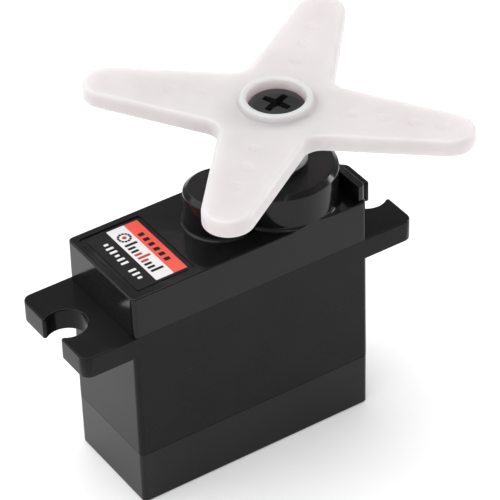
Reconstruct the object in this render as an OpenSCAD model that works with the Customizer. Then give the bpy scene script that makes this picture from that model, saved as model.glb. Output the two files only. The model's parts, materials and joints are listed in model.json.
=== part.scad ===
// Mini servo: three-part plastic case, brushed motor, three compound gear stages,
// ball-raced output shaft, feedback potentiometer, circuit board and a four-arm horn.
// Origin: on the output axis at the case's bottom face. +Z up the output shaft,
// +X towards the short output end of the case, -X towards the motor end.

/* [Case] */
// Case width across the long faces
case_w = 12.6; // [12.4:0.1:13.4]
// Output axis to the short end of the case
case_front = 6.8; // [6.7:0.1:7.2]
// Output axis to the motor end of the case
case_rear = 21.8; // [21.6:0.1:22.6]
// Height of the flat deck that carries the label
deck_z = 27.0; // [27.0:0.1:27.4]
// Height of the bottom cover's parting line
split_low = 6.5; // [6.3:0.1:6.7]
// Wall thickness of the shells
wall = 1.0; // [0.9:0.05:1.05]
// Radius of the case's upright corners
corner_r = 0.6; // [0.5:0.1:1.1]

/* [Ears] */
// How far each mounting ear reaches out
ear_len = 5.9; // [5.6:0.1:6.4]
// Thickness of the ears
ear_t = 2.55; // [2.3:0.05:2.8]
// Height of the ears' top, which is the upper parting line
ear_top = 22.1; // [22.0:0.1:22.2]
// Radius of the open mounting holes
ear_hole_r = 2.2; // [2.0:0.05:2.3]
// Width of the slot that opens each hole outwards
ear_slot_w = 3.5; // [3.0:0.1:3.8]
// Mounting hole centre to the tip of the ear
ear_hole_in = 1.7; // [1.6:0.1:2.2]

/* [Tower] */
// Height of the output tower's top
tower_z = 31.2; // [31.0:0.1:31.6]
// Chamfer round the top of the tower and lobe
tower_chamfer = 0.5; // [0.3:0.05:0.6]
// Sloped foot where the tower and lobe meet the deck
tower_foot = 0.4; // [0.2:0.05:0.5]
// Centre of the idler lobe behind the output axis
lobe_x = 7.2; // [7.1:0.1:7.4]
// Radius of the idler lobe
lobe_r = 3.8; // [3.7:0.1:4.0]
// Height of the raised wall at the output end
lip_z = 28.9; // [28.4:0.1:29.4]
// Thickness of the raised wall
lip_t = 0.9; // [0.7:0.1:1.2]
// How far the raised wall's ends are set back from the long faces
lip_in = 0.3; // [0.1:0.05:0.6]

/* [Gears] */
// Thinning of each tooth at the pitch circle
backlash = 0.04; // [0.03:0.01:0.06]

/* [Horn] */
// Output axis to the tip of each horn arm
horn_reach = 20.6; // [19:0.1:22]
// Top face of the horn arms
horn_top = 38.5; // [38.2:0.1:38.8]
// Thickness of the horn arms
horn_t = 1.9; // [1.6:0.1:2.2]
// Radius of an arm's rounded tip
arm_tip_r = 2.7; // [2.4:0.1:3]
// Half width of an arm where it leaves the hub
arm_root = 5.4; // [4.8:0.1:5.8]
// How far the horn is turned from the case's long axis
horn_turn = 41; // [35:1:50]
// Radius of the hollow corner between two arms
horn_fillet = 2.0; // [1:0.5:3]

/* [Hidden] */
$fn = 64;
gap = 0.02;                                  // assembly gap between fixed pieces
run = 0.05;                                  // radial clearance of a running fit
floor_t = 1.2;                               // bottom cover's floor
roof_t = 1.2;                                // top cover's roof
deck_t = 1.0;                                // gear deck at the top of the middle case
bore_r = 0.6;                                // upright corners inside the shells
case_play = 0.6;                             // room above the cable inlet
past = 1;                                    // how far a cut runs past the face it opens
deck_in = ear_top - deck_t;                  // underside of the gear deck
roof_in = deck_z - roof_t;                   // underside of the top cover's roof
mid_x = (case_front - case_rear) / 2;        // middle of the case along X
case_l = case_front + case_rear;
bore_l = case_l - 2 * wall;
bore_w = case_w - 2 * wall;
tower_r = case_w / 2;
ear_tip_r = 1.1;                             // plan corners of the ears

// label in its recess, and the groove beside it
recess_x = -17.35;
recess = [7.4, 10.9];
recess_r = 0.5;
recess_t = 0.15;
label_x = -17.3;
label = [6.2, 10.1];
label_r = 0.25;
label_t = 0.1;
groove_x = -21.15;
groove = [0.3, 8.4];
groove_t = 0.2;

// cable inlet
inlet = [4.4, 3.5];
inlet_z = 3.0;
inlet_flange = 0.5;
inlet_nose = 0.9;
lead = [3.0, 1.3];
lead_z = 4.4;

mod_fast = 0.2;                              // motor pinion and first wheel
mod_slow = 0.25;                             // the three slower meshes
z_pinion = 10;
z_first = 48;
z_small = 14;                                // each small gear on the idler and output axes
z_big = 38;                                  // each big gear on the idler and output axes
idler_d = mod_slow * (z_small + z_big) / 2;  // output axis to idler axis
motor_d = mod_fast * (z_pinion + z_first) / 2;
idler_x = -idler_d;
motor_x = idler_x - motor_d;

// gear levels, each [bottom, top]
lv_first = [22.35, 23.2];
lv_second = [23.45, 24.2];
lv_third = [24.5, 25.3];
lv_output = [25.65, 27.7];
lv_pinion = [22.25, 23.35];
gear_gap = 0.1;                              // axial gap between neighbours on one axis
weld = 0.01;                                 // overlap of two parts of one solid
pressure = 25;                               // pressure angle
gear_pocket_r = 5.25;                        // room in the tower for the output gear
gear_pocket_top = 28.1;
idler_pocket_r = 2.6;                        // room in the lobe for the third gear
idler_pocket_top = 28.4;

// shafts and bearings
idler_pin_r = 0.6;
pin_top = 29.5;
lower_r = 1.0;                               // output shaft below its gear
upper_r = 2.5;                               // output shaft in the ball bearing
gear_seat_r = 1.75;                          // output shaft in its gear
collar = 0.4;                                // step of the output shaft below the bearing
shaft_low = 19.8;
deck_hole_r = 1.6;                           // output shaft through the gear deck
race_z = [28.4, 30.4];                       // ball bearing, 5 x 8 x 2
race_out = 4.0;
ball_pitch = 3.25;
ball_r = 0.42;
balls = 9;
pinion_shaft_r = 0.5;
race_wall = 0.45;
track_play = 0.03;
cage_r = [3.1, 3.4];
cage_z = [28.6, 29.45];

// output spline, horn hub and horn screw
spline_n = 20;
spline_r = 2.0;
spline_top = 35.6;
spline_low = 31.3;
spline_depth = 0.22;
hub_r = 3.1;
hub_z = 31.6;
rim_r = 3.8;
rim_z = 39.4;
bowl_r = 3.05;
bowl_z = 37.0;
head_r = 2.95;
head_top = 38.6;
head_step = [0.35, 0.4];                    // smaller crown on the screw head
cross = [3.0, 0.6, 0.8];                     // cross recess: length, width, depth
cross_turn = 20;
fillet_start = 6;                            // degrees past the tangent where a hollow corner starts
screw_r = 0.95;
screw_low = 33.0;
thread_low = 32.4;                           // bottom of the threaded hole in the shaft

// motor
can_r = 5.15;
can_z = [8.2, deck_in];
can_t = 0.4;
can_roof = 0.5;
boss_r = 1.55;                               // boss round the motor's upper bearing
boss_h = 0.7;
boss_hole_r = 1.62;
bushing_r = 0.9;
bell_z = 6.9;
bell_bore_r = 2.9;
terminal = [0.9, 0.4, 5.2];
terminal_y = 3.5;
brush = [0.9, 1.5, 0.9];
brush_y = 1.9;
brush_z = 7.9;
magnet_z = [10.2, 19.6];
magnet_t = 0.88;
magnet_y = [2.0, 7.2];                       // the two magnets lie between these widths
core_z = [11.2, 18.6];
core_h = core_z[1] - core_z[0];
hub_core_r = 1.6;
arm_core = [3.2, 1.0];
pole_r = 3.65;
pole = [2.95, 4.6];                          // where a pole shoe starts, and its width
coil = [1.1, 2.3, 8.2];
coil_x = 1.75;
coil_window = [1.04, 7.44];
commutator_r = 1.1;
commutator_z = [7.7, 10.4];
segment_gap = 0.16;
shaft_z = [7.1, 23.0];

// circuit board and potentiometer
board_z = [3.6, 4.4];
board = [21.8, 9.8];
board_x = -18.4;
chip = [5.0, 4.0, 1.2];
chip_x = -7.5;
chip_z = 2.2;
leg = [0.4, 1.0, 0.28];
leg_y = 2.4;
leg_z = 3.3;
leg_pitch = 1.27;
transistor = [1.4, 2.8, 1.18];
transistor_xs = [-17.6, -10.4];
transistor_y = 2.2;
capacitor = [2.0, 3.2, 1.58];
pot_z = [12.0, 18.4];
pot_r = 4.6;
pot_in_r = 3.7;
pot_shaft_r = 1.5;
pot_floor = 1.4;
pot_roof = 1.0;
wiper_z = [13.9, 14.3];
wiper_r = 2.2;
wiper = [3.3, 1.0];
pin_pitch = 1.6;                             // the potentiometer's three terminals
pin_ys = [-pin_pitch, 0, pin_pitch];
pin = [0.6, 0.7, 1.8];
pin_x = 1.3;
wire_x = 1.6;
wire_r = 0.27;
wire_z = 3.3;
wire_hole_r = 0.3;

// case screws
screw_in = 1.75;                             // screw axis to the case faces
post_r = 1.5;                                // posts inside the shells
screw_hole_r = 0.85;
thread_hole_r = 0.65;
thread_top = 25.0;
counterbore = [1.2, 1.4];                    // radius and height
case_head = [1.1, 0.25, 1.38];               // screw head: radius, bottom, top
case_screw_r = 0.6;
case_screw_top = 24.4;
case_cross = [1.5, 0.3, 0.8];                // length, width, depth
screw_y = case_w / 2 - screw_in;
screw_xs = [-case_rear + screw_in, case_front - screw_in];

// ---------- shared shapes ----------

// flat rectangle with round corners, exact arcs
module round_rect(l, w, r) {
    square([l - 2 * r, w], center = true);
    square([l, w - 2 * r], center = true);
    for (sx = [-1, 1], sy = [-1, 1])
        translate([sx * (l / 2 - r), sy * (w / 2 - r)]) circle(r = r);
}

// block with round upright corners between two heights, centred on the case
module case_block(l, w, r, z0, z1) {
    translate([mid_x, 0, z0]) linear_extrude(z1 - z0) round_rect(l, w, r);
}

// plain cylinder between two heights on an upright axis at x
module rod(r, z0, z1, x = 0) {
    translate([x, 0, z0]) cylinder(r = r, h = z1 - z0);
}

// the four case screw positions
module at_screws() {
    for (x = screw_xs, y = [-screw_y, screw_y]) translate([x, y, 0]) children();
}

function involute(a) = tan(a) * 180 / PI - a;

// half the angle of a tooth at radius r
function half_tooth(r, n, m) =
    let (rp = m * n / 2, rb = rp * cos(pressure), at_r = max(r, rb))
    90 / n - backlash / 2 / rp * 180 / PI + involute(pressure) - involute(acos(rb / at_r));

// outline of an involute gear, tooth 0 centred on the angle turn
module gear_2d(n, m, turn = 0) {
    root = m * (n / 2 - 1.05);
    base = m * n / 2 * cos(pressure);
    flank = [m * (n / 2 - 0.3), m * (n / 2 + 0.3), m * (n / 2 + 0.8)];
    radii = concat(base > root + 0.01 ? [root, base] : [root], flank);
    steps = len(radii) - 1;
    polygon([for (k = [0:n - 1], s = [-1, 1], i = [0:steps])
        let (j = s < 0 ? i : steps - i, r = radii[j],
             a = turn + k * 360 / n + s * half_tooth(r, n, m))
        [r * cos(a), r * sin(a)]]);
}

// gear between the heights lv on an upright axis at x
module gear(n, m, lv, x, turn = 0) {
    translate([x, 0, lv[0]]) linear_extrude(lv[1] - lv[0]) gear_2d(n, m, turn);
}

// ---------- case ----------

// opening in the short end for the cable inlet
module inlet_cut(z0, z1) {
    translate([case_front - wall - inlet_flange, -inlet[0] / 2, z0])
        cube([wall + inlet_flange + past, inlet[0], z1 - z0]);
}

module bottom_cover() color("#262627") {
    difference() {
        case_block(case_l, case_w, corner_r, 0, split_low - gap);
        difference() {
            case_block(bore_l, bore_w, bore_r, floor_t, split_low);
            at_screws() rod(post_r, 0, split_low);
        }
        at_screws() {
            rod(screw_hole_r, -past, split_low);
            rod(counterbore[0], -past, counterbore[1]);
        }
        inlet_cut(inlet_z, split_low);
    }
}

module ear_outline(tip_x, side) {
    inner = ear_len + 2;
    cx = tip_x - side * inner / 2;
    translate([cx, 0]) round_rect(inner, case_w, ear_tip_r);
}

module ear_cut(tip_x, side) {
    hx = tip_x - side * ear_hole_in;
    translate([hx, 0]) circle(r = ear_hole_r);
    translate([hx + side * ear_hole_in, 0]) square([2 * ear_hole_in, ear_slot_w], center = true);
}

module middle_case() color("#222223") {
    front = case_front + ear_len;
    rear = -case_rear - ear_len;
    difference() {
        union() {
            case_block(case_l, case_w, corner_r, split_low, ear_top - gap);
            translate([0, 0, ear_top - ear_t]) linear_extrude(ear_t - gap) difference() {
                union() {
                    ear_outline(front, 1);
                    ear_outline(rear, -1);
                }
                ear_cut(front, 1);
                ear_cut(rear, -1);
            }
        }
        difference() {
            case_block(bore_l, bore_w, bore_r, split_low - past, deck_in + gap);
            at_screws() rod(post_r, split_low - past, ear_top);
        }
        at_screws() rod(screw_hole_r, split_low - past, ear_top + past);
        rod(boss_hole_r, deck_in - past, ear_top + past, motor_x);
        rod(deck_hole_r, deck_in - past, ear_top + past);
        rod(idler_pin_r, deck_in - past, ear_top + past, idler_x);
        inlet_cut(split_low - past, inlet_z + inlet[1] + case_play);
    }
}

// upright round of the tower, with its top edge chamfered
module chamfered_rod(r, x) {
    rod(r, ear_top, tower_z - tower_chamfer, x);
    translate([x, 0, tower_z - tower_chamfer])
        cylinder(r1 = r, r2 = r - tower_chamfer, h = tower_chamfer);
    intersection() {
        case_block(case_l, case_w, corner_r, ear_top, tower_z);
        translate([x, 0, deck_z - weld]) cylinder(r1 = r + tower_foot, r2 = r, h = tower_foot);
    }
}

// outside of the top cover: deck, round tower, idler lobe and raised end wall
module top_outside() {
    case_block(case_l, case_w, corner_r, ear_top, deck_z);
    chamfered_rod(tower_r, 0);
    chamfered_rod(lobe_r, -lobe_x);
    intersection() {
        case_block(case_l, case_w, corner_r, ear_top, lip_z);
        translate([case_front - lip_t, lip_in - case_w / 2, ear_top])
            cube([lip_t, case_w - 2 * lip_in, lip_z]);
    }
}

module top_cover() color("#232324") difference() {
    top_outside();
    difference() {
        case_block(bore_l, bore_w, bore_r, ear_top - past, roof_in);
        at_screws() rod(post_r, ear_top, roof_in + past);
    }
    rod(gear_pocket_r, ear_top - past, gear_pocket_top);
    rod(idler_pocket_r, ear_top - past, idler_pocket_top, idler_x);
    rod(idler_pin_r, roof_in, pin_top + 0.1, idler_x);
    rod(race_out + gap, roof_in, race_z[1] + gap);
    rod(upper_r + 0.2, roof_in, tower_z + past);
    at_screws() rod(thread_hole_r, ear_top - past, thread_top);
    translate([recess_x, 0, deck_z - recess_t]) linear_extrude(past)
        round_rect(recess[0], recess[1], recess_r);
    translate([groove_x, -groove[1] / 2, deck_z - groove_t]) cube([groove[0], groove[1], past]);
}

module label_plate() color("#e8503f")
    translate([label_x, 0, deck_z - recess_t + gap]) linear_extrude(label_t)
        round_rect(label[0], label[1], label_r);

module case_screws() color("#9a9a98") at_screws() difference() {
    screw();
    for (a = [0, 90]) rotate([0, 0, a]) translate([-case_cross[0] / 2, -case_cross[1] / 2, 0])
        cube([case_cross[0], case_cross[1], case_cross[2]]);
}

module screw() {
    rod(case_head[0], case_head[1], case_head[2]);
    rod(case_screw_r, case_head[2] - weld, case_screw_top);
}

// block of the cable inlet between two X, its sides drawn in by edge
module gland_block(x0, x1, edge) {
    play = 0.05 + edge;
    translate([x0, -inlet[0] / 2 + play, inlet_z + play])
        cube([x1 - x0, inlet[0] - 2 * play, inlet[1] + case_play - 2 * play]);
}

module cable_gland() color("#1c1c1c") difference() {
    union() {
        gland_block(case_front - wall - inlet_flange + gap, case_front + gap, 0);
        gland_block(case_front, case_front + inlet_nose, 0.3);
    }
    translate([case_front - 3 * past, -lead[0] / 2, lead_z]) cube([6 * past, lead[0], lead[1]]);
}

// ---------- motor ----------

module motor_can() color("#b9bcc0") {
    difference() {
        rod(can_r, can_z[0], can_z[1], motor_x);
        rod(can_r - can_t, can_z[0] - past, can_z[1] - can_roof, motor_x);
        rod(bushing_r, can_z[0], can_z[1] + past, motor_x);
    }
    difference() {
        rod(boss_r, can_z[1], can_z[1] + boss_h, motor_x);
        rod(bushing_r, can_z[0], can_z[1] + past, motor_x);
    }
}

module motor_bushing() color("#b08d57") difference() {
    rod(bushing_r, can_z[1] - can_t, can_z[1] + boss_h + gear_gap, motor_x);
    rod(pinion_shaft_r + run, can_z[1] - past, can_z[1] + past, motor_x);
}

module motor_magnets() color("#55565a") intersection() {
    difference() {
        rod(can_r - can_t - gap, magnet_z[0], magnet_z[1], motor_x);
        rod(can_r - can_t - gap - magnet_t, magnet_z[0] - past, magnet_z[1] + past, motor_x);
    }
    for (s = [0, 180]) translate([motor_x, 0, 0]) rotate([0, 0, s])
        translate([-can_r, magnet_y[0], magnet_z[0]])
            cube([2 * can_r, magnet_y[1] - magnet_y[0], magnet_z[1] - magnet_z[0]]);
}

module motor_end_bell() color("#3a3a3c") difference() {
    union() {
        rod(can_r, bell_z, can_z[0] - gap, motor_x);
        rod(can_r - can_t - run, bell_z, can_z[0] + 0.8, motor_x);
    }
    rod(bell_bore_r, bell_z + can_roof, can_z[1], motor_x);
    rod(pinion_shaft_r + run, bell_z - past, can_z[1], motor_x);
    for (s = [-1, 1]) translate([motor_x - terminal[0] / 2 - run, s * terminal_y - 0.3, bell_z - past])
        cube([terminal[0] + 2 * run, 0.6, 4 * past]);
}

module motor_terminals() color("#c9a24b")
    for (s = [-1, 1])
        translate([motor_x - terminal[0] / 2, s * terminal_y - terminal[1] / 2, board_z[1] - 1.1])
            cube(terminal);

module motor_brushes() color("#4a3a30")
    for (s = [-1, 1])
        translate([motor_x - brush[0] / 2, s * brush_y - brush[1] / 2, brush_z]) cube(brush);

module motor_shaft() color("#c5c7ca") rod(pinion_shaft_r, shaft_z[0], shaft_z[1], motor_x);

module armature_core() color("#8d8f93") difference() {
    union() {
        rod(hub_core_r, core_z[0], core_z[1], motor_x);
        for (a = [0:120:240]) translate([motor_x, 0, core_z[0]]) rotate([0, 0, a]) {
            translate([0, -arm_core[1] / 2, 0]) cube([arm_core[0], arm_core[1], core_h]);
            intersection() {
                cylinder(r = pole_r, h = core_h);
                translate([pole[0], -pole[1] / 2, 0]) cube([past, pole[1], core_h]);
            }
        }
    }
    rod(pinion_shaft_r, core_z[0] - past, core_z[1] + past, motor_x);
}

module armature_windings() color("#b5652d")
    for (a = [0:120:240]) translate([motor_x, 0, (core_z[0] + core_z[1]) / 2]) rotate([0, 0, a])
        difference() {
            translate([coil_x, -coil[1] / 2, -coil[2] / 2]) cube(coil);
            translate([coil_x - past, -coil_window[0] / 2, -coil_window[1] / 2])
                cube([3 * past, coil_window[0], coil_window[1]]);
        }

module commutator() color("#c47a3c") difference() {
    rod(commutator_r, commutator_z[0], commutator_z[1], motor_x);
    rod(pinion_shaft_r, commutator_z[0] - past, commutator_z[1] + past, motor_x);
    for (a = [0:120:240]) translate([motor_x, 0, commutator_z[0] - past]) rotate([0, 0, a])
        translate([commutator_r - 0.25, -segment_gap / 2, 0]) cube([past, segment_gap, 3.3]);
}

module motor_pinion() color("#c9a24b") difference() {
    gear(z_pinion, mod_fast, lv_pinion, motor_x);
    rod(pinion_shaft_r, lv_pinion[0] - past, shaft_z[1] + weld, motor_x);
}

// ---------- electronics ----------

module circuit_board() color("#1f5a38") difference() {
    translate([board_x, -board[1] / 2, board_z[0]])
        cube([board[0], board[1], board_z[1] - board_z[0]]);
    for (s = [-1, 1]) translate([motor_x - 0.55, s * terminal_y - 0.3, board_z[0] - past])
        cube([1.1, 0.6, 2 * past]);
    for (y = pin_ys) translate([wire_x, y, board_z[0] - past]) cylinder(r = wire_hole_r, h = 2 * past);
}

module controller_chip() color("#2b2b2b") {
    translate([chip_x, -chip[1] / 2, chip_z]) cube(chip);
    for (k = [0:3], s = [-1, 1])
        translate([chip_x + 0.6 + leg_pitch * k, s * leg_y - leg[1] / 2, leg_z]) cube(leg);
}

module driver_transistors() color("#333336")
    for (x = transistor_xs, y = [-transistor_y, transistor_y])
        translate([x - transistor[0] / 2, y - transistor[1] / 2, board_z[0] - gap - transistor[2]])
            cube(transistor);

module capacitor() color("#c08a3e")
    translate([-0.6, -capacitor[1] / 2, board_z[0] - gap - capacitor[2]]) cube(capacitor);

module pot_body() color("#2e4a6e") difference() {
    rod(pot_r, pot_z[0], pot_z[1]);
    rod(pot_in_r, pot_z[0] + pot_floor, pot_z[1] - pot_roof);
    rod(pot_shaft_r + run, pot_z[0] + past, pot_z[1] + past);
}

module pot_shaft() color("#e7e2d2") difference() {
    rod(pot_shaft_r, pot_z[0] + pot_floor + 0.2, ear_top - 0.3);
    rod(lower_r, shaft_low - 0.2, ear_top);
}

module pot_wiper() color("#d8b24a") difference() {
    union() {
        rod(wiper_r, wiper_z[0], wiper_z[1]);
        translate([0, -wiper[1] / 2, wiper_z[0]]) cube([wiper[0], wiper[1], wiper_z[1] - wiper_z[0]]);
    }
    rod(pot_shaft_r, wiper_z[0] - past, wiper_z[1] + past);
}

module pot_terminals() color("#c9c2a8")
    for (y = pin_ys) translate([pin_x, y - pin[1] / 2, pot_z[0] - pin[2]])
        cube([pin[0], pin[1], pin[2] - gap]);

module pot_wires() color("#8c2f2a")
    for (y = pin_ys) translate([wire_x, y, wire_z])
        cylinder(r = wire_r, h = pot_z[0] - pin[2] - run - wire_z);

// ---------- gear train ----------

module idler_pin() color("#c5c7ca") 
    rod(idler_pin_r - 0.005, deck_in + 0.1, pin_top, idler_x);

module first_gear() color("#c9a24b") difference() {
    union() {
        gear(z_first, mod_fast, lv_first, idler_x, 180 / z_first);
        gear(z_small, mod_slow, [lv_first[1] - weld, lv_second[1] + gear_gap], idler_x);
    }
    rod(idler_pin_r + run, lv_first[0] - past, lv_second[1] + past, idler_x);
}

module second_gear() color("#b7b9bc") difference() {
    union() {
        gear(z_big, mod_slow, lv_second, 0, 180 / z_big);
        gear(z_small, mod_slow, [lv_second[1] - weld, lv_third[1] + gear_gap], 0);
    }
    rod(lower_r + run, lv_second[0] - past, lv_third[1] + past);
}

module third_gear() color("#c9a24b") difference() {
    union() {
        gear(z_big, mod_slow, lv_third, idler_x, 180 / z_big);
        gear(z_small, mod_slow, [lv_third[1] - weld, lv_output[1] + gear_gap], idler_x);
    }
    rod(idler_pin_r + run, lv_third[0] - past, lv_output[1] + past, idler_x);
}

module output_gear() color("#b7b9bc") difference() {
    gear(z_big, mod_slow, lv_output, 0, 180 / z_big);
    rod(gear_seat_r, lv_output[0] - past, lv_output[1] + past);
}

module output_shaft() color("#c9cbce") {
    difference() {
        union() {
            rod(lower_r, shaft_low, lv_output[0]);
            rod(gear_seat_r, lv_output[0], lv_output[1]);
            rod(upper_r + collar, lv_output[1], race_z[0]);
            rod(upper_r - weld, race_z[0], spline_low);
            translate([0, 0, spline_low]) linear_extrude(spline_top - spline_low)
                spline_2d(spline_r - gap);
        }
        rod(screw_r, thread_low, spline_top + past);
    }
}

// toothed outline shared by the shaft's spline and the horn's socket
module spline_2d(r) {
    polygon([for (k = [0:spline_n - 1], s = [0, 1, 2, 3])
        let (a = (k + s / 4) * 360 / spline_n, q = s == 1 || s == 2 ? r : r - spline_depth)
        [q * cos(a), q * sin(a)]]);
}

// ---------- output ball bearing ----------

module ball_track(r)
    translate([0, 0, (race_z[0] + race_z[1]) / 2]) rotate_extrude()
        translate([ball_pitch, 0]) circle(r = r);

module bearing_outer_race() color("#c9cbce") difference() {
    rod(race_out, race_z[0], race_z[1]);
    rod(race_out - race_wall, race_z[0] - past, race_z[1] + past);
    ball_track(ball_r + track_play);
}

module bearing_inner_race() color("#c9cbce") difference() {
    rod(upper_r + race_wall - gap, race_z[0] + gap, race_z[1]);
    rod(upper_r, race_z[0] - past, race_z[1] + past);
    ball_track(ball_r + track_play);
}

module at_balls() {
    for (k = [0:balls - 1]) rotate([0, 0, k * 360 / balls])
        translate([ball_pitch, 0, (race_z[0] + race_z[1]) / 2]) children();
}

module bearing_balls() color("#dcdee0") at_balls() sphere(r = ball_r);

module bearing_cage() color("#8a6a3a") difference() {
    rod(cage_r[1], cage_z[0], cage_z[1]);
    rod(cage_r[0], cage_z[0] - past, cage_z[1] + past);
    at_balls() sphere(r = ball_r + track_play);
}

// ---------- horn ----------

// star with four tapered round-ended arms and hollowed corners between them
module horn_2d() {
    tip_x = horn_reach - arm_tip_r;
    slope = atan((arm_root - arm_tip_r) / tip_x);
    hollow = (horn_fillet / cos(slope) + arm_root) / (1 + tan(slope));
    near = hollow - horn_fillet * cos(slope + fillet_start);
    far = hollow - horn_fillet * sin(slope + fillet_start);
    for (a = [0:90:270]) rotate([0, 0, a]) {
        polygon([[0, -arm_root], [tip_x, -arm_tip_r], [tip_x, arm_tip_r], [0, arm_root]]);
        translate([tip_x, 0]) circle(r = arm_tip_r);
        difference() {
            polygon([[1, 1], [far, near], [hollow, hollow], [near, far]]);
            translate([hollow, hollow]) circle(r = horn_fillet);
        }
    }
}

module servo_horn() color("#ece6e8") difference() {
    union() {
        translate([0, 0, horn_top - horn_t]) linear_extrude(horn_t) rotate(horn_turn) horn_2d();
        rod(hub_r, hub_z, horn_top);
        rod(rim_r, horn_top - horn_t, rim_z);
    }
    rod(bowl_r, bowl_z, rim_z + past);
    rod(screw_r + 0.1, hub_z, bowl_z + past);
    translate([0, 0, hub_z - past]) linear_extrude(spline_top + 0.2 - hub_z + past) spline_2d(spline_r);
}

module horn_screw() color("#4c4d50") difference() {
    union() {
        rod(head_r, bowl_z + weld, head_top - head_step[1]);
        rod(head_r - head_step[0], bowl_z + weld, head_top);
        rod(screw_r - weld, screw_low, bowl_z + 2 * weld);
    }
    for (a = [0, 90]) rotate([0, 0, a + cross_turn])
        translate([-cross[0] / 2, -cross[1] / 2, head_top - cross[2]]) cube([cross[0], cross[1], 2]);
}

bottom_cover();
middle_case();
top_cover();
case_screws();
label_plate();
cable_gland();
motor_can();
motor_end_bell();
motor_magnets();
motor_bushing();
motor_brushes();
motor_terminals();
circuit_board();
controller_chip();
driver_transistors();
capacitor();
pot_body();
pot_terminals();
pot_wires();
idler_pin();
bearing_outer_race();
bearing_balls();
bearing_cage();
bearing_inner_race();
motor_shaft();
armature_core();
armature_windings();
commutator();
motor_pinion();
first_gear();
second_gear();
third_gear();
output_gear();
output_shaft();
pot_shaft();
pot_wiper();
servo_horn();
horn_screw();
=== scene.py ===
"""Looks of the mini servo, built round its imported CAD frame.

Outer shells, horn, screws and sticker are modelled here from the frame's own sizes; the parts inside
keep their CAD shape and get worn edges and procedural materials. Lengths are in millimetres until
they reach a mesh, and MM turns them into metres.
"""
import json
import math

import bmesh
import bpy
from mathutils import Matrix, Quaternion, Vector


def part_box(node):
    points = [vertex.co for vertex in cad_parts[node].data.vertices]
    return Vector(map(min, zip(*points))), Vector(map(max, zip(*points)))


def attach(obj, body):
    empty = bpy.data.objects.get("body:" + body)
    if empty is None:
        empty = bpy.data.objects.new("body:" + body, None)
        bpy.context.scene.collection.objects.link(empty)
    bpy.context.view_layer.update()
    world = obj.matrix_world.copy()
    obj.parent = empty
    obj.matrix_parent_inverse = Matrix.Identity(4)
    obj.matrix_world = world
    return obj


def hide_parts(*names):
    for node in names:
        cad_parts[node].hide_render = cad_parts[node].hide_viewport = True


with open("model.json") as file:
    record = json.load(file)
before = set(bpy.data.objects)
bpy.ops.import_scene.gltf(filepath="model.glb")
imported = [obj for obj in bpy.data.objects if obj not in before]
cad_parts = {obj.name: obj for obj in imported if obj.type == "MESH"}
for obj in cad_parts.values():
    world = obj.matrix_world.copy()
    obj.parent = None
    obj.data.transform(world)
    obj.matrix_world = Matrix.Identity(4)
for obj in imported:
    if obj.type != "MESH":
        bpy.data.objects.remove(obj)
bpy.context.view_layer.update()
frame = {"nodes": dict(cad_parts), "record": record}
MM = 0.001
WELD = 1e-6          # metres between points that are joined


def box_mm(node):
    """Lowest and highest corner of a CAD node, in millimetres."""
    low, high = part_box(node)
    return [v / MM for v in low], [v / MM for v in high]


# ---------------------------------------------------------------- sizes from the frame

bottom_lo, bottom_hi = box_mm("bottom_cover")
middle_lo, middle_hi = box_mm("middle_case")
top_lo, top_hi = box_mm("top_cover")
label_lo, label_hi = box_mm("label_plate")
horn_lo, horn_hi = box_mm("servo_horn")
screw_lo, screw_hi = box_mm("horn_screw")

REAR, FRONT = bottom_lo[0], bottom_hi[0]
HALF_W = bottom_hi[1]
MID_X = (REAR + FRONT) / 2
LENGTH = FRONT - REAR
WIDTH = 2 * HALF_W
SPLIT_LOW = middle_lo[2]
EAR_TOP = middle_hi[2]
EAR_UNDER = EAR_TOP - 2.53
DECK = label_lo[2] + 0.13
TOWER_TOP = top_hi[2]
CORNER = 0.6         # upright corners of the case
CASE_EDGE = 0.16     # rounding of the deck's and the ears' edges
BOTTOM_EDGE, BOTTOM_IN = 0.24, 0.06
SEAM_EDGE, SEAM_IN, GROOVE = 0.04, 0.03, 0.05
TOP_IN = 0.02        # how far a rounded top edge starts inside the outline
LOBE_X, LOBE_R = -7.2, 3.8
CHAMFER, CHAMFER_EDGE, FOOT = 0.5, 0.09, 0.4
LIP_TOP, LIP_T, LIP_IN, LIP_SWEEP = 28.9, 0.9, 0.3, 70
SKIN = 0.01          # how far the detailed skins stay inside the CAD surface
PAST = 0.1           # how far a tool shape runs past the surface that it joins or cuts
EAR_TIP_R, MOUTH_R = 1.1, 0.22
HOLE_R, HOLE_IN, SLOT = 2.2, 1.7, 3.5 / 2

# horn: arms, then hub, bowl and spline socket
HORN_TOP, HORN_T = 38.5, 1.9
HORN_REACH, TIP_R, ROOT, FILLET, HORN_TURN = 20.6, 2.7, 5.4, 2.0, 41.0
HORN_EDGE_LOW, HORN_EDGE_TOP = 0.3, 0.5
HUB_LOW, RIM_TOP = horn_lo[2], horn_hi[2]
HUB_R, RIM_R, BOWL_R, BOWL_Z = 3.1, 3.8, 3.05, 37.0
RIM_EDGE, HUB_FILLET, SKIRT, BORE_R = 0.24, 0.6, 0.55, 1.05
SPLINES, SPLINE_R, SPLINE_DEPTH, SOCKET_TOP = 20, 2.0, 0.22, 35.8
DIMPLES = (8.0, 11.2, 14.4)          # distances of the shallow dimples along every arm
FAR_DIMPLE, FAR_DIMPLE_ARM = 17.2, 3
# a dimple's profile: radius, and height above the arm's top
DIMPLE = ((0, -0.05), (0.4, -0.045), (0.58, -0.03), (0.72, -0.012), (0.84, 0.02), (0.84, 0.3), (0, 0.3))

# horn screw: thread, seat, dome and cross recess
THREAD_R, THREAD_TIP_R, SEAT_R = 0.92, 0.7, 0.98
DOME_IN, DOME_DEPTH, DOME_TALL, CROWN_R = 0.7, 0.52, 0.44, 1.4
CROSS_TURN = 20
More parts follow.
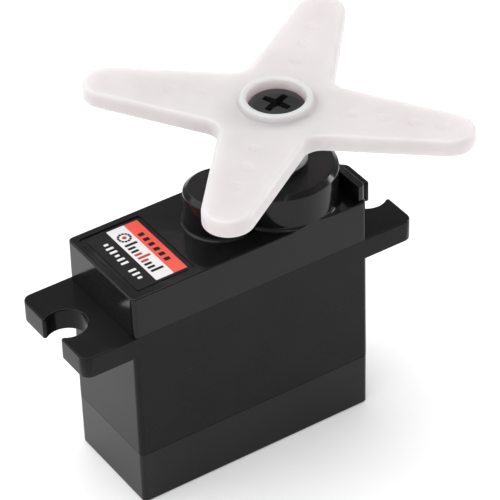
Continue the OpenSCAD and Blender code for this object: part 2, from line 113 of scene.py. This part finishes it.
# one arm of the recess, and its levels: height below the head's top and inset
CROSS_ARM = ((0.42, -0.42), (1.55, -0.36), (1.62, -0.2), (1.62, 0.2), (1.55, 0.36))
CROSS_LEVELS = ((-0.95, 0.2), (-0.2, 0.03), (-0.05, 0.0), (0.3, -0.06))


# ---------------------------------------------------------------- mesh helpers

SHARP, FLAT = math.radians(28.0), math.radians(0.4)      # angles between faces



def arc(cx, cy, r, a0, a1, steps):
    """Points on an arc, angles in degrees."""
    out = []
    for i in range(steps + 1):
        a = math.radians(a0 + (a1 - a0) * i / steps)
        out.append((cx + r * math.cos(a), cy + r * math.sin(a)))
    return out


def quarter_turn(steps):
    """Angles from nothing to a right angle, in radians."""
    return [math.pi / 2 * i / steps for i in range(steps + 1)]


def circle(cx, cy, r, steps=96):
    return arc(cx, cy, r, 0, 360, steps)[:-1]


def rounded_rect(cx, cy, length, width, r, steps=8):
    """Counter-clockwise outline of a rectangle with round corners."""
    x, y = length / 2 - r, width / 2 - r
    pts = []
    for sx, sy, a in ((1, -1, -90), (1, 1, 0), (-1, 1, 90), (-1, -1, 180)):
        pts += arc(cx + sx * x, cy + sy * y, r, a, a + 90, steps)
    return pts


def inset(pts, d):
    """A counter-clockwise outline moved inwards by d along its corners' bisectors."""
    out = []
    n = len(pts)
    for i in range(n):
        (x0, y0), (x1, y1), (x2, y2) = pts[i - 1], pts[i], pts[(i + 1) % n]
        a = Vector((x1 - x0, y1 - y0)).normalized()
        b = Vector((x2 - x1, y2 - y1)).normalized()
        na, nb = Vector((-a.y, a.x)), Vector((-b.y, b.x))
        m = (na + nb).normalized()
        k = d / max(m.dot(na), 0.3)
        out.append((x1 + m.x * k, y1 + m.y * k))
    return out


def rounded_levels(z0, z1, r0, r1, in0=0.0, in1=0.0, steps=4):
    """Levels (z, inset) of a wall from z0 to z1 with its lower edge rounded by r0 and its upper by r1."""
    levels = [(z0, in0)]
    if r0:
        levels = [(z0 + r0 * (1 - math.cos(a)), in0 + r0 * (1 - math.sin(a))) for a in quarter_turn(steps)]
    if r1:
        levels += [(z1 - r1 * (1 - math.sin(a)), in1 + r1 * (1 - math.cos(a))) for a in quarter_turn(steps)]
    else:
        levels.append((z1, in1))
    return levels


def new_object(name, bm):
    """Puts a finished bmesh in the scene as an object."""
    bmesh.ops.recalc_face_normals(bm, faces=bm.faces)
    mesh = bpy.data.meshes.new(name)
    bm.to_mesh(mesh)
    bm.free()
    obj = bpy.data.objects.new(name, mesh)
    bpy.context.scene.collection.objects.link(obj)
    return obj


def loft(name, outline, levels):
    """A closed solid whose sides run through the outline, inset at each level (z, inset)."""
    bm = bmesh.new()
    rings = []
    for z, d in levels:
        pts = inset(outline, d) if abs(d) > 1e-9 else outline
        rings.append([bm.verts.new((x * MM, y * MM, z * MM)) for x, y in pts])
    n = len(outline)
    for low, high in zip(rings, rings[1:]):
        for i in range(n):
            bm.faces.new((low[i], low[(i + 1) % n], high[(i + 1) % n], high[i]))
    bm.faces.new(list(reversed(rings[0])))
    bm.faces.new(rings[-1])
    return new_object(name, bm)


def lathe(name, profile, x=0.0, y=0.0, steps=96):
    """A solid turned about an upright axis. The profile's first and last points lie on the axis."""
    bm = bmesh.new()
    rings = []
    for r, z in profile:
        if r < 1e-6:
            rings.append([bm.verts.new((x * MM, y * MM, z * MM))])
            continue
        ring = []
        for k in range(steps):
            a = math.tau * k / steps
            ring.append(bm.verts.new(((x + r * math.cos(a)) * MM, (y + r * math.sin(a)) * MM, z * MM)))
        rings.append(ring)
    for low, high in zip(rings, rings[1:]):
        for k in range(steps):
            j = (k + 1) % steps
            corners = [low[k % len(low)], low[j % len(low)], high[j % len(high)], high[k % len(high)]]
            unique = []
            for v in corners:
                if v not in unique:
                    unique.append(v)
            if len(unique) > 2:
                bm.faces.new(unique)
    return new_object(name, bm)


def welded_copy(node):
    """The CAD node's surface as one closed mesh in a new object."""
    bm = bmesh.new()
    bm.from_mesh(frame["nodes"][node].data)
    bmesh.ops.remove_doubles(bm, verts=bm.verts, dist=WELD)
    return new_object(node + "_copy", bm)


def boolean(target, other, operation):
    """Applies one boolean to target and removes the other object."""
    mod = target.modifiers.new("cut", "BOOLEAN")
    mod.operation = operation
    mod.solver = "MANIFOLD"
    mod.object = other
    graph = bpy.context.evaluated_depsgraph_get()
    mesh = bpy.data.meshes.new_from_object(target.evaluated_get(graph))
    target.modifiers.remove(mod)
    old = target.data
    target.data = mesh
    mesh.name = old.name
    bpy.data.meshes.remove(old)
    bpy.data.objects.remove(other)


def finish_mesh(obj):
    """Joins flat faces, marks sharp edges and weights the normals, so flats stay flat."""
    bm = bmesh.new()
    bm.from_mesh(obj.data)
    bmesh.ops.remove_doubles(bm, verts=bm.verts, dist=2e-7)
    bmesh.ops.dissolve_degenerate(bm, edges=bm.edges, dist=1e-7)
    bmesh.ops.dissolve_limit(bm, angle_limit=FLAT, verts=bm.verts, edges=bm.edges)
    for face in bm.faces:
        face.smooth = True
    for edge in bm.edges:
        edge.smooth = len(edge.link_faces) == 2 and edge.calc_face_angle(0.0) < SHARP
    bm.to_mesh(obj.data)
    bm.free()
    mod = obj.modifiers.new("flat_normals", "WEIGHTED_NORMAL")
    mod.keep_sharp = True
    mod.weight = 80


# ---------------------------------------------------------------- materials

DRIFT_SCALE, WEAR_SCALE = 180, 420      # waves per metre of the colour drift and the wear


def noise(tree, scale, detail, rough, coords, distortion=0.0):
    """A noise texture's value."""
    node = tree.nodes.new("ShaderNodeTexNoise")
    node.inputs["Scale"].default_value = scale
    node.inputs["Detail"].default_value = detail
    node.inputs["Roughness"].default_value = rough
    node.inputs["Distortion"].default_value = distortion
    tree.links.new(coords, node.inputs["Vector"])
    return node.outputs["Fac"]


def remap(tree, value, in0, in1, out0, out1):
    """Maps a value from one range to another, clamped."""
    node = tree.nodes.new("ShaderNodeMapRange")
    for key, v in (("From Min", in0), ("From Max", in1), ("To Min", out0), ("To Max", out1)):
        node.inputs[key].default_value = v
    tree.links.new(value, node.inputs["Value"])
    return node.outputs["Result"]


def mix_colour(tree, factor, a, b):
    """A blend of two colours by a node's value."""
    node = tree.nodes.new("ShaderNodeMix")
    node.data_type = "RGBA"
    node.inputs["A"].default_value = (*a, 1)
    node.inputs["B"].default_value = (*b, 1)
    tree.links.new(factor, node.inputs["Factor"])
    return node.outputs["Result"]


def finish_material(name, colour, other, rough, grain, bump, metallic=0.0, stretch=(1, 1, 1), **sockets):
    """A procedural finish: colour drifts to other, roughness runs between two values, grain is bumped.

    grain is the number of grains per millimetre, bump the depth in millimetres, and stretch draws the
    grain out along an axis, as brushing or turning does."""
    mat = bpy.data.materials.new(name)
    mat.use_nodes = True
    tree = mat.node_tree
    shader = tree.nodes["Principled BSDF"]
    shader.inputs["Metallic"].default_value = metallic
    for key, v in sockets.items():
        shader.inputs[key.replace("_", " ")].default_value = v
    coords = tree.nodes.new("ShaderNodeTexCoord").outputs["Object"]
    mapping = tree.nodes.new("ShaderNodeMapping")
    mapping.inputs["Scale"].default_value = stretch
    tree.links.new(coords, mapping.inputs["Vector"])
    local = mapping.outputs["Vector"]
    drift = noise(tree, DRIFT_SCALE, 4, 0.55, coords)
    tree.links.new(mix_colour(tree, remap(tree, drift, 0.35, 0.7, 0, 1), colour, other),
                   shader.inputs["Base Color"])
    fine = noise(tree, grain / MM, 3, 0.6, local)
    wear = noise(tree, WEAR_SCALE, 5, 0.6, local, 0.4)
    blend = tree.nodes.new("ShaderNodeMath")
    blend.operation = "MULTIPLY_ADD"
    blend.inputs[1].default_value = 0.35
    tree.links.new(fine, blend.inputs[0])
    tree.links.new(remap(tree, wear, 0.3, 0.75, 0, 0.65), blend.inputs[2])
    tree.links.new(remap(tree, blend.outputs[0], 0.1, 0.9, rough[0], rough[1]), shader.inputs["Roughness"])
    bumped = tree.nodes.new("ShaderNodeBump")
    bumped.inputs["Strength"].default_value = 1.0
    bumped.inputs["Distance"].default_value = bump * MM
    tree.links.new(fine, bumped.inputs["Height"])
    tree.links.new(bumped.outputs["Normal"], shader.inputs["Normal"])
    return mat


def use(obj, *mats):
    """Gives an object its materials. One alone replaces those it has; several fill empty slots in order."""
    if len(mats) == 1:
        obj.data.materials.clear()
    for mat in mats:
        obj.data.materials.append(mat)


# slot: colour, second colour, roughness range, grains per mm, bump in mm, metallic
FINISHES = {
    "case_plastic": ((0.0062, 0.0062, 0.0068), (0.009, 0.009, 0.0098), (0.09, 0.19), 5.0, 0.001, 0.0),
    "ear_plastic": ((0.006, 0.006, 0.0066), (0.0088, 0.0088, 0.0095), (0.1, 0.2), 5.0, 0.001, 0.0),
    "horn_nylon": ((0.505, 0.492, 0.494), (0.54, 0.526, 0.528), (0.3, 0.44), 4.0, 0.003, 0.0),
    "black_screw": ((0.02, 0.02, 0.022), (0.034, 0.033, 0.034), (0.18, 0.36), 7.0, 0.003, 0.55),
    "bright_screw": ((0.55, 0.55, 0.53), (0.42, 0.41, 0.39), (0.22, 0.45), 8.0, 0.003, 1.0),
    "gland_rubber": ((0.012, 0.012, 0.012), (0.022, 0.022, 0.021), (0.55, 0.8), 7.0, 0.01, 0.0),
    "can_steel": ((0.6, 0.6, 0.61), (0.5, 0.5, 0.49), (0.2, 0.38), 5.0, 0.003, 1.0),
    "bell_plastic": ((0.045, 0.045, 0.05), (0.06, 0.06, 0.062), (0.35, 0.55), 6.0, 0.004, 0.0),
    "magnet": ((0.05, 0.05, 0.052), (0.08, 0.078, 0.074), (0.5, 0.75), 9.0, 0.006, 0.0),
    "bronze": ((0.48, 0.29, 0.12), (0.36, 0.2, 0.08), (0.25, 0.45), 8.0, 0.003, 1.0),
    "carbon": ((0.02, 0.018, 0.017), (0.05, 0.046, 0.042), (0.45, 0.7), 9.0, 0.006, 0.0),
    "terminal_brass": ((0.62, 0.42, 0.16), (0.5, 0.32, 0.1), (0.22, 0.42), 6.0, 0.002, 1.0),
    "board": ((0.01, 0.09, 0.035), (0.016, 0.13, 0.05), (0.25, 0.4), 3.0, 0.006, 0.0),
    "chip": ((0.018, 0.018, 0.019), (0.03, 0.03, 0.03), (0.45, 0.65), 9.0, 0.005, 0.0),
    "transistor": ((0.022, 0.022, 0.024), (0.04, 0.04, 0.04), (0.4, 0.6), 9.0, 0.005, 0.0),
    "ceramic_cap": ((0.42, 0.24, 0.09), (0.5, 0.3, 0.13), (0.35, 0.55), 7.0, 0.004, 0.0),
    "pot_plastic": ((0.02, 0.06, 0.16), (0.03, 0.08, 0.2), (0.3, 0.5), 6.0, 0.004, 0.0),
    "pot_nylon": ((0.72, 0.69, 0.58), (0.78, 0.75, 0.66), (0.35, 0.5), 6.0, 0.003, 0.0),
    "pot_metal": ((0.6, 0.5, 0.3), (0.5, 0.4, 0.22), (0.25, 0.45), 7.0, 0.003, 1.0),
    "wire_red": ((0.26, 0.015, 0.012), (0.34, 0.025, 0.02), (0.35, 0.5), 6.0, 0.004, 0.0),
    "bright_steel": ((0.64, 0.64, 0.65), (0.54, 0.54, 0.54), (0.12, 0.3), 8.0, 0.002, 1.0),
    "race_steel": ((0.66, 0.66, 0.67), (0.58, 0.58, 0.58), (0.08, 0.22), 8.0, 0.001, 1.0),
    "cage": ((0.4, 0.26, 0.1), (0.32, 0.2, 0.07), (0.3, 0.5), 8.0, 0.003, 1.0),
    "core_steel": ((0.32, 0.32, 0.33), (0.42, 0.41, 0.4), (0.3, 0.5), 6.0, 0.006, 1.0),
    "copper": ((0.66, 0.24, 0.1), (0.5, 0.16, 0.06), (0.2, 0.38), 6.0, 0.01, 1.0),
    "gear_brass": ((0.66, 0.46, 0.18), (0.54, 0.35, 0.12), (0.18, 0.36), 8.0, 0.003, 1.0),
    "gear_steel": ((0.58, 0.58, 0.59), (0.48, 0.48, 0.47), (0.2, 0.38), 8.0, 0.003, 1.0),
    "label_black": ((0.0075, 0.0075, 0.008), (0.011, 0.011, 0.0115), (0.32, 0.46), 6.0, 0.001, 0.0),
    "label_white": ((0.66, 0.64, 0.645), (0.7, 0.68, 0.685), (0.34, 0.48), 6.0, 0.001, 0.0),
    "label_orange": ((0.7, 0.066, 0.042), (0.76, 0.08, 0.05), (0.32, 0.46), 6.0, 0.001, 0.0),
    "label_dark_red": ((0.36, 0.012, 0.015), (0.42, 0.016, 0.02), (0.32, 0.46), 6.0, 0.001, 0.0),
}
# finishes drawn out along an axis by rolling, turning or winding
STRETCH = {"can_steel": (1, 1, 0.08), "copper": (1, 1, 6), "core_steel": (0.2, 0.2, 9),
           "race_steel": (1, 1, 6), "bright_screw": (1, 1, 5), "board": (1, 0.25, 1)}
# shader inputs that only some finishes set
EXTRA = {
    "horn_nylon": {"Subsurface_Weight": 0.9, "Subsurface_Scale": 0.007,
                   "Subsurface_Radius": (1.0, 0.8, 0.82)},
    "case_plastic": {"Specular_IOR_Level": 0.23},
    "ear_plastic": {"Specular_IOR_Level": 0.14},
    "label_black": {"Specular_IOR_Level": 0.12},
}
made = {}


def material(slot):
    """The material of a slot, made once."""
    if slot not in made:
        colour, other, rough, grain, bump, metallic = FINISHES[slot]
        made[slot] = finish_material(slot, colour, other, rough, grain, bump, metallic,
                                     STRETCH.get(slot, (1, 1, 1)), **EXTRA.get(slot, {}))
    return made[slot]


# ---------------------------------------------------------------- case

case_outline = rounded_rect(MID_X, 0, LENGTH, WIDTH, CORNER)


def shell(name, node, outer, slot):
    """The part of the detailed outer solid that lies in the CAD shell, so that the inside stays the CAD's."""
    boolean(outer, welded_copy(node), "INTERSECT")
    outer.name = name
    use(outer, material(slot))
    finish_mesh(outer)
    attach(outer, "case")
    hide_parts(node)


def make_bottom_cover():
    """The lower shell, rounded at the foot and drawn in a little at the seam."""
    levels = rounded_levels(0.0, bottom_hi[2], BOTTOM_EDGE, SEAM_EDGE, BOTTOM_IN, SEAM_IN)
    shell("bottom_shell", "bottom_cover", loft("bottom_outer", case_outline, levels), "case_plastic")


def ear_plate_outline():
    """Both ears and the plate between them, with the open round holes at the ends."""
    tip = middle_hi[0]
    hole_x = tip - HOLE_IN
    meet = math.degrees(math.asin(SLOT / HOLE_R))
    half = arc(tip - EAR_TIP_R, -HALF_W + EAR_TIP_R, EAR_TIP_R, -90, 0, 8)
    half += arc(tip - MOUTH_R, -SLOT - MOUTH_R, MOUTH_R, 0, 90, 5)
    half += arc(hole_x, 0, HOLE_R, -meet, -360 + meet, 44)
    half += arc(tip - MOUTH_R, SLOT + MOUTH_R, MOUTH_R, -90, 0, 5)
    half += arc(tip - EAR_TIP_R, HALF_W - EAR_TIP_R, EAR_TIP_R, 0, 90, 8)
    centre = (middle_lo[0] + middle_hi[0]) / 2
    return half + [(2 * centre - x, -y) for x, y in half]


def make_middle_case():
    """The case's middle with a fine groove at the lower seam, and the ears with rounded edges."""
    body = loft("middle_outer", case_outline, [(SPLIT_LOW - PAST, GROOVE), (SPLIT_LOW, GROOVE),
                                               (SPLIT_LOW + SEAM_EDGE, SKIN), (EAR_TOP, SKIN),
                                               (EAR_TOP + PAST, SKIN)])
    levels = rounded_levels(EAR_UNDER + SKIN, EAR_TOP - SKIN, CASE_EDGE, CASE_EDGE, SKIN, SKIN, 3)
    boolean(body, loft("ears", ear_plate_outline(), levels), "UNION")
    shell("middle_shell", "middle_case", body, "ear_plastic")


def tower_levels():
    """From the roof up: a hollow foot, the wall, and a chamfer with rounded edges."""
    edge = CHAMFER_EDGE
    levels = [(top_lo[2] - PAST, SKIN - FOOT), (DECK - TOP_IN, SKIN - FOOT)]
    levels += [(DECK + FOOT * (1 - math.cos(a)), SKIN + FOOT * (math.sin(a) - 1)) for a in quarter_turn(6)]
    levels += [(TOWER_TOP - CHAMFER - edge, SKIN),
               (TOWER_TOP - CHAMFER + edge * 0.7, SKIN + edge * 0.5),
               (TOWER_TOP - edge, CHAMFER - 0.2 * edge + SKIN),
               (TOWER_TOP - 0.25 * edge - SKIN, CHAMFER + SKIN + 0.5 * edge),
               (TOWER_TOP - SKIN, CHAMFER + SKIN + 1.4 * edge)]
    return levels


def make_top_cover():
    """The roof with its tower and lobe, trimmed to the case's long faces, and the raised end wall."""
    levels = [(top_lo[2] - PAST, SKIN)]
    levels += rounded_levels(top_lo[2], DECK - SKIN, 0, CASE_EDGE, SKIN, TOP_IN)
    cover = loft("top_outer", case_outline, levels)
    block = [(top_lo[2] - 2 * PAST, SKIN), (TOWER_TOP + PAST, SKIN)]
    for cx, r in ((0.0, HALF_W), (LOBE_X, LOBE_R)):
        tower = loft("tower", circle(cx, 0, r, 128), tower_levels())
        boolean(tower, loft("block", case_outline, block), "INTERSECT")
        boolean(cover, tower, "UNION")
    inner, end = FRONT - LIP_T, HALF_W - LIP_IN
    lip = [(inner, -end)] + arc(FRONT - CORNER, -end + CORNER, CORNER, -LIP_SWEEP, 0, 8)
    lip += arc(FRONT - CORNER, end - CORNER, CORNER, 0, LIP_SWEEP, 8) + [(inner, end)]
    levels = rounded_levels(top_lo[2] + 1, LIP_TOP - SKIN, 0, CHAMFER_EDGE, SKIN, TOP_IN)
    boolean(cover, loft("lip", lip, levels), "UNION")
    shell("top_shell", "top_cover", cover, "case_plastic")


# ---------------------------------------------------------------- sticker

LABEL_SLOTS = ["label_black", "label_white", "label_orange", "label_dark_red"]
LABEL_R, BAR_R = 0.25, 0.06
# bands: middle, measured from the sticker's rear edge, and width; both bands are short by BAND_SHORT
WHITE_X, WHITE_W = 3.5, 2.08
ORANGE_X, ORANGE_W = 5.34, 1.62
BAND_SHORT, BAND_SHIFT = 0.46, 0.09
# dial: place along the band, radii of its ticks and its dot, and tick count
DIAL_Y, DIAL_OUT, DIAL_IN, DIAL_DOT, DIAL_TICKS, DIAL_GAP = 3.05, 0.78, 0.52, 0.24, 12, 3
# rows of marks: place of the first one, spacing, width across
SCALE_Y, SCALE_STEP, SCALE_W, SCALE_BASE, SCALE_TALL, SCALE_SHORT = 1.75, 0.62, 0.34, -0.72, 1.45, 0.85
DASH_Y, DASH_STEP, DASH_W, DASH_IN, DASH_LONG = 2.55, 0.98, 0.52, -0.12, 0.66
WORD_X, WORD_Y, WORD_STEP, WORD_W, WORD_TALL, WORD_SHORT = 1.35, 3.1, 0.72, 0.34, 0.85, 0.5


def add_plate(bm, outline, z0, z1, slot):
    """One flat print layer with a slightly drawn-in top edge, added to the sticker's mesh."""
    edge = min(0.006, (z1 - z0) / 3)
    rings = [[bm.verts.new((x * MM, y * MM, z * MM)) for x, y in (inset(outline, d) if d else outline)]
             for z, d in ((z0, 0), (z1 - edge, 0), (z1, edge))]
    faces = [bm.faces.new(list(reversed(rings[0]))), bm.faces.new(rings[-1])]
    n = len(outline)
    for low, high in zip(rings, rings[1:]):
        for i in range(n):
            faces.append(bm.faces.new((low[i], low[(i + 1) % n], high[(i + 1) % n], high[i])))
    for face in faces:
        face.material_index = LABEL_SLOTS.index(slot)


def bar(cx, cy, length, width):
    """A printed bar with slightly round corners."""
    return rounded_rect(cx, cy, length, width, BAR_R, 3)


def make_label():
    """Black, white and orange bands with plain printed marks: a dial, a scale and two rows of dashes."""
    (x0, y0, z0), (x1, y1, z1) = label_lo, label_hi
    step = (z1 - z0) / 4
    cx, cy = (x0 + x1) / 2, (y0 + y1) / 2
    length, width = x1 - x0 - 2 * SKIN, y1 - y0 - 2 * SKIN
    white_x, orange_x, word_x = x0 + WHITE_X, x0 + ORANGE_X, x0 + WORD_X
    # the layers sink slightly into each other
    base, band, low, ink = z0 + 1.9 * step, z0 + 3 * step, z0 + 2.9 * step, z1 - SKIN / 2
    bm = bmesh.new()
    add_plate(bm, rounded_rect(cx, cy, length, width, LABEL_R, 5), z0 + SKIN, z0 + 2 * step, "label_black")
    for x, across, slot in ((white_x, WHITE_W, "label_white"), (orange_x, ORANGE_W, "label_orange")):
        add_plate(bm, bar(x, cy + BAND_SHIFT, across, width - BAND_SHORT), base, band, slot)
    turn = 360 // DIAL_TICKS
    for k in range(DIAL_TICKS):
        sweep = turn * k + DIAL_GAP, turn * (k + 1) - DIAL_GAP, 3
        tick = arc(white_x, cy + DIAL_Y, DIAL_OUT, *sweep)
        tick += reversed(arc(white_x, cy + DIAL_Y, DIAL_IN, *sweep))
        add_plate(bm, tick, low, ink, "label_black")
    add_plate(bm, circle(white_x, cy + DIAL_Y, DIAL_DOT, 20), low, ink, "label_dark_red")
    for k in range(9):
        tall = SCALE_TALL if k % 4 == 0 else SCALE_SHORT
        tone = "label_dark_red" if k in (3, 4, 5) else "label_black"
        mark = bar(white_x + SCALE_BASE + tall / 2, cy + SCALE_Y - SCALE_STEP * k, tall, SCALE_W)
        add_plate(bm, mark, low, ink, tone)
    for k in range(6):
        mark = bar(orange_x + DASH_IN, cy + DASH_Y - DASH_STEP * k, DASH_LONG, DASH_W)
        add_plate(bm, mark, low, ink, "label_black")
    for k in (0, 1, 2, 3, 4, 5, 7, 8, 9):
        tall = WORD_TALL if k % 3 else WORD_SHORT
        add_plate(bm, bar(word_x, cy + WORD_Y - WORD_STEP * k, tall, WORD_W), base, low, "label_white")
    label = new_object("label_sticker", bm)
    use(label, *(material(slot) for slot in LABEL_SLOTS))
    for face in label.data.polygons:
        face.use_smooth = False
    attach(label, "case")
    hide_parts("label_plate")


# ---------------------------------------------------------------- horn and its screw

def horn_outline():
    """Four tapered arms with round tips and hollow corners, counter-clockwise from the first arm."""
    tip_x = HORN_REACH - TIP_R
    slope = math.atan((ROOT - TIP_R) / tip_x)
    hollow = (FILLET / math.cos(slope) + ROOT) / (1 + math.tan(slope))
    tilt = math.degrees(slope)
    quarter = arc(tip_x, 0, TIP_R, -90 + tilt, 90 - tilt, 18)
    quarter += arc(hollow, hollow, FILLET, -90 - tilt, -180 + tilt, 10)
    pts = []
    for k in range(4):
        pts += turned(quarter, HORN_TURN + 90 * k)
    return pts


def turned(pts, degrees):
    a = math.radians(degrees)
    return [(x * math.cos(a) - y * math.sin(a), x * math.sin(a) + y * math.cos(a)) for x, y in pts]


def make_horn():
    """Four arms on a hub that ends in a rimmed bowl, with the spline socket underneath."""
    under = HORN_TOP - HORN_T
    levels = rounded_levels(under, HORN_TOP, HORN_EDGE_LOW, HORN_EDGE_TOP, SKIN, SKIN, 6)
    horn = loft("horn_arms", horn_outline(), levels)
    quarter = quarter_turn(6)
    skirt_r = RIM_R + SKIRT
    hub = [(0, HUB_LOW), (HUB_R - 0.2, HUB_LOW), (HUB_R, HUB_LOW + 0.2), (HUB_R, under - HUB_FILLET)]
    hub += [(HUB_R + HUB_FILLET * (1 - math.cos(a)), under - HUB_FILLET + HUB_FILLET * math.sin(a))
            for a in quarter[1:]]
    hub += [(HUB_R + HUB_FILLET, HORN_TOP - 0.4), (skirt_r, HORN_TOP - 0.4), (skirt_r, HORN_TOP - 0.02)]
    hub += [(skirt_r - SKIRT * math.sin(a), HORN_TOP + 0.35 * (1 - math.cos(a))) for a in quarter[1:-1]]
    edge = [(RIM_EDGE * (1 - math.cos(a)), RIM_TOP - RIM_EDGE + RIM_EDGE * math.sin(a)) for a in quarter]
    hub += [(RIM_R - d, z) for d, z in edge] + [(0, RIM_TOP)]
    boolean(horn, lathe("hub", hub), "UNION")
    bowl = [(0, BOWL_Z), (BOWL_R - 0.05, BOWL_Z), (BOWL_R, BOWL_Z + 0.3)]
    bowl += [(BOWL_R + d, z) for d, z in edge] + [(BOWL_R + RIM_EDGE, RIM_TOP + 1), (0, RIM_TOP + 1)]
    boolean(horn, lathe("bowl", bowl), "DIFFERENCE")
    bore = [(0, HUB_LOW - 1), (BORE_R, HUB_LOW - 1), (BORE_R, BOWL_Z + 1), (0, BOWL_Z + 1)]
    boolean(horn, lathe("bore", bore, steps=48), "DIFFERENCE")
    socket = []
    for k in range(SPLINES):
        for s, r in enumerate((SPLINE_R - SPLINE_DEPTH, SPLINE_R, SPLINE_R, SPLINE_R - SPLINE_DEPTH)):
            a = math.tau * (k + s / 4) / SPLINES
            socket.append((r * math.cos(a), r * math.sin(a)))
    boolean(horn, loft("socket", socket, [(HUB_LOW - 1, 0), (SOCKET_TOP, 0)]), "DIFFERENCE")
    for k in range(4):
        for r in DIMPLES + ((FAR_DIMPLE,) if k == FAR_DIMPLE_ARM else ()):
            (x, y), = turned([(r, 0)], HORN_TURN + 90 * k)
            cut = [(across, HORN_TOP + z) for across, z in DIMPLE]
            boolean(horn, lathe("dimple", cut, x, y, 40), "DIFFERENCE")
    use(horn, material("horn_nylon"))
    finish_mesh(horn)
    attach(horn, "output")
    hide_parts("servo_horn")


def make_horn_screw():
    """Pan-head screw in the horn's bowl, its cross recess tapering inwards."""
    top, low, r = screw_hi[2], screw_lo[2], screw_hi[0]
    seat = BOWL_Z + 0.02
    dome = [(r - DOME_IN * (1 - math.cos(a)), top - DOME_DEPTH + DOME_TALL * math.sin(a))
            for a in quarter_turn(10)]
    profile = [(0, low), (THREAD_TIP_R, low), (THREAD_R, low + 0.25), (THREAD_R, seat - 0.1), (SEAT_R, seat),
               (r - 0.12, seat), (r, seat + 0.12)] + dome + [(CROWN_R, top - 0.02), (0, top)]
    screw = lathe("horn_screw_head", profile, steps=72)
    cross = []
    for k in range(4):
        cross += turned(CROSS_ARM, CROSS_TURN + 90 * k)
    boolean(screw, loft("recess", cross, [(top + z, d) for z, d in CROSS_LEVELS]), "DIFFERENCE")
    use(screw, material("black_screw"))
    finish_mesh(screw)
    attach(screw, "output")
    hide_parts("horn_screw")


# ---------------------------------------------------------------- pieces that keep their CAD shape

# bevels in mm; every other node gets the small one
EDGE = {"case_screws": 0.06, "cable_gland": 0.12, "motor_can": 0.25, "motor_end_bell": 0.15,
        "circuit_board": 0.04, "controller_chip": 0.05, "driver_transistors": 0.08, "capacitor": 0.15,
        "pot_body": 0.2}
SMALL_EDGE, BEVEL_FROM = 0.03, math.radians(40)


def dress_cad_nodes(replaced):
    """Materials and worn edges for the CAD nodes that stay visible as they are."""
    for entry in frame["record"]["subparts"]:
        node = entry["node"]
        if node in replaced:
            continue
        obj = frame["nodes"][node]
        use(obj, material(entry["material_slot"]))
        weld = obj.modifiers.new("weld", "WELD")
        weld.merge_threshold = WELD
        bevel = obj.modifiers.new("worn_edges", "BEVEL")
        bevel.width = EDGE.get(node, SMALL_EDGE) * MM
        bevel.segments = 2
        bevel.limit_method = "ANGLE"
        bevel.angle_limit = BEVEL_FROM
        bevel.harden_normals = False
        normals = obj.modifiers.new("flat_normals", "WEIGHTED_NORMAL")
        normals.keep_sharp = True


make_bottom_cover()
make_middle_case()
make_top_cover()
make_label()
make_horn()
make_horn_screw()
dress_cad_nodes({"bottom_cover", "middle_case", "top_cover", "label_plate", "servo_horn", "horn_screw"})


# ---------------------------------------------------------------- floor, light and camera

FLOOR_HALF, FLOOR_GLOW = 1.5, 0.15
WORLD_STRENGTH = 0.42
# name, place and aim in metres, size, power
LIGHTS = (("key", (-0.25, 0.3, 1.1), (0, 0, 0), (1.9, 1.9), 24),
          ("strip", (0.95, -0.18, 0.38), (0, 0, 0.02), (0.22, 0.3), 2.4))
AZIMUTH, ELEVATION, ROLL = math.radians(-32.44), math.radians(37.69), math.radians(-1.89)
TARGET, DISTANCE = Vector((-7.542, -5.981, 26.87)) * MM, 318.1 * MM
LENS, SENSOR = 226.5, 36


def make_floor():
    """A plain pale floor that glows a little, so that shadows on it stay light."""
    bm = bmesh.new()
    bmesh.ops.create_grid(bm, x_segments=8, y_segments=8, size=FLOOR_HALF)
    floor = new_object("floor", bm)
    paper = finish_material("floor_paper", (0.86, 0.86, 0.865), (0.88, 0.88, 0.88), (0.7, 0.85), 1.0, 0.01,
                            Emission_Strength=FLOOR_GLOW)
    use(floor, paper)


def area_light(name, place, aim, size, power):
    """A rectangular lamp turned towards a point."""
    data = bpy.data.lights.new(name, "AREA")
    data.shape = "RECTANGLE"
    data.size, data.size_y = size
    data.energy = power
    obj = bpy.data.objects.new(name, data)
    bpy.context.scene.collection.objects.link(obj)
    obj.location = place
    obj.rotation_euler = (Vector(aim) - Vector(place)).to_track_quat("-Z", "Y").to_euler()


def make_light():
    """A white surround, one large soft lamp and a low strip that draws the streak on the tower."""
    world = bpy.data.worlds.new("studio")
    bpy.context.scene.world = world
    world.use_nodes = True
    back = world.node_tree.nodes["Background"]
    back.inputs["Color"].default_value = (1.0, 1.0, 1.0, 1)
    back.inputs["Strength"].default_value = WORLD_STRENGTH
    for light in LIGHTS:
        area_light(*light)


def make_camera():
    """A long lens, 38 degrees above and 32 degrees round from the long face."""
    back = Vector((math.sin(AZIMUTH) * math.cos(ELEVATION), -math.cos(AZIMUTH) * math.cos(ELEVATION),
                   math.sin(ELEVATION)))
    data = bpy.data.cameras.new("camera")
    data.lens = LENS
    data.sensor_width = SENSOR
    data.clip_start = 0.01
    camera = bpy.data.objects.new("camera", data)
    bpy.context.scene.collection.objects.link(camera)
    camera.location = TARGET + back * DISTANCE
    camera.rotation_mode = "QUATERNION"
    camera.rotation_quaternion = back.to_track_quat("Z", "Y") @ Quaternion((0, 0, 1), ROLL)
    bpy.context.scene.camera = camera


make_floor()
make_light()
make_camera()
bpy.context.scene.view_settings.view_transform = "Standard"

bpy.context.view_layer.update()
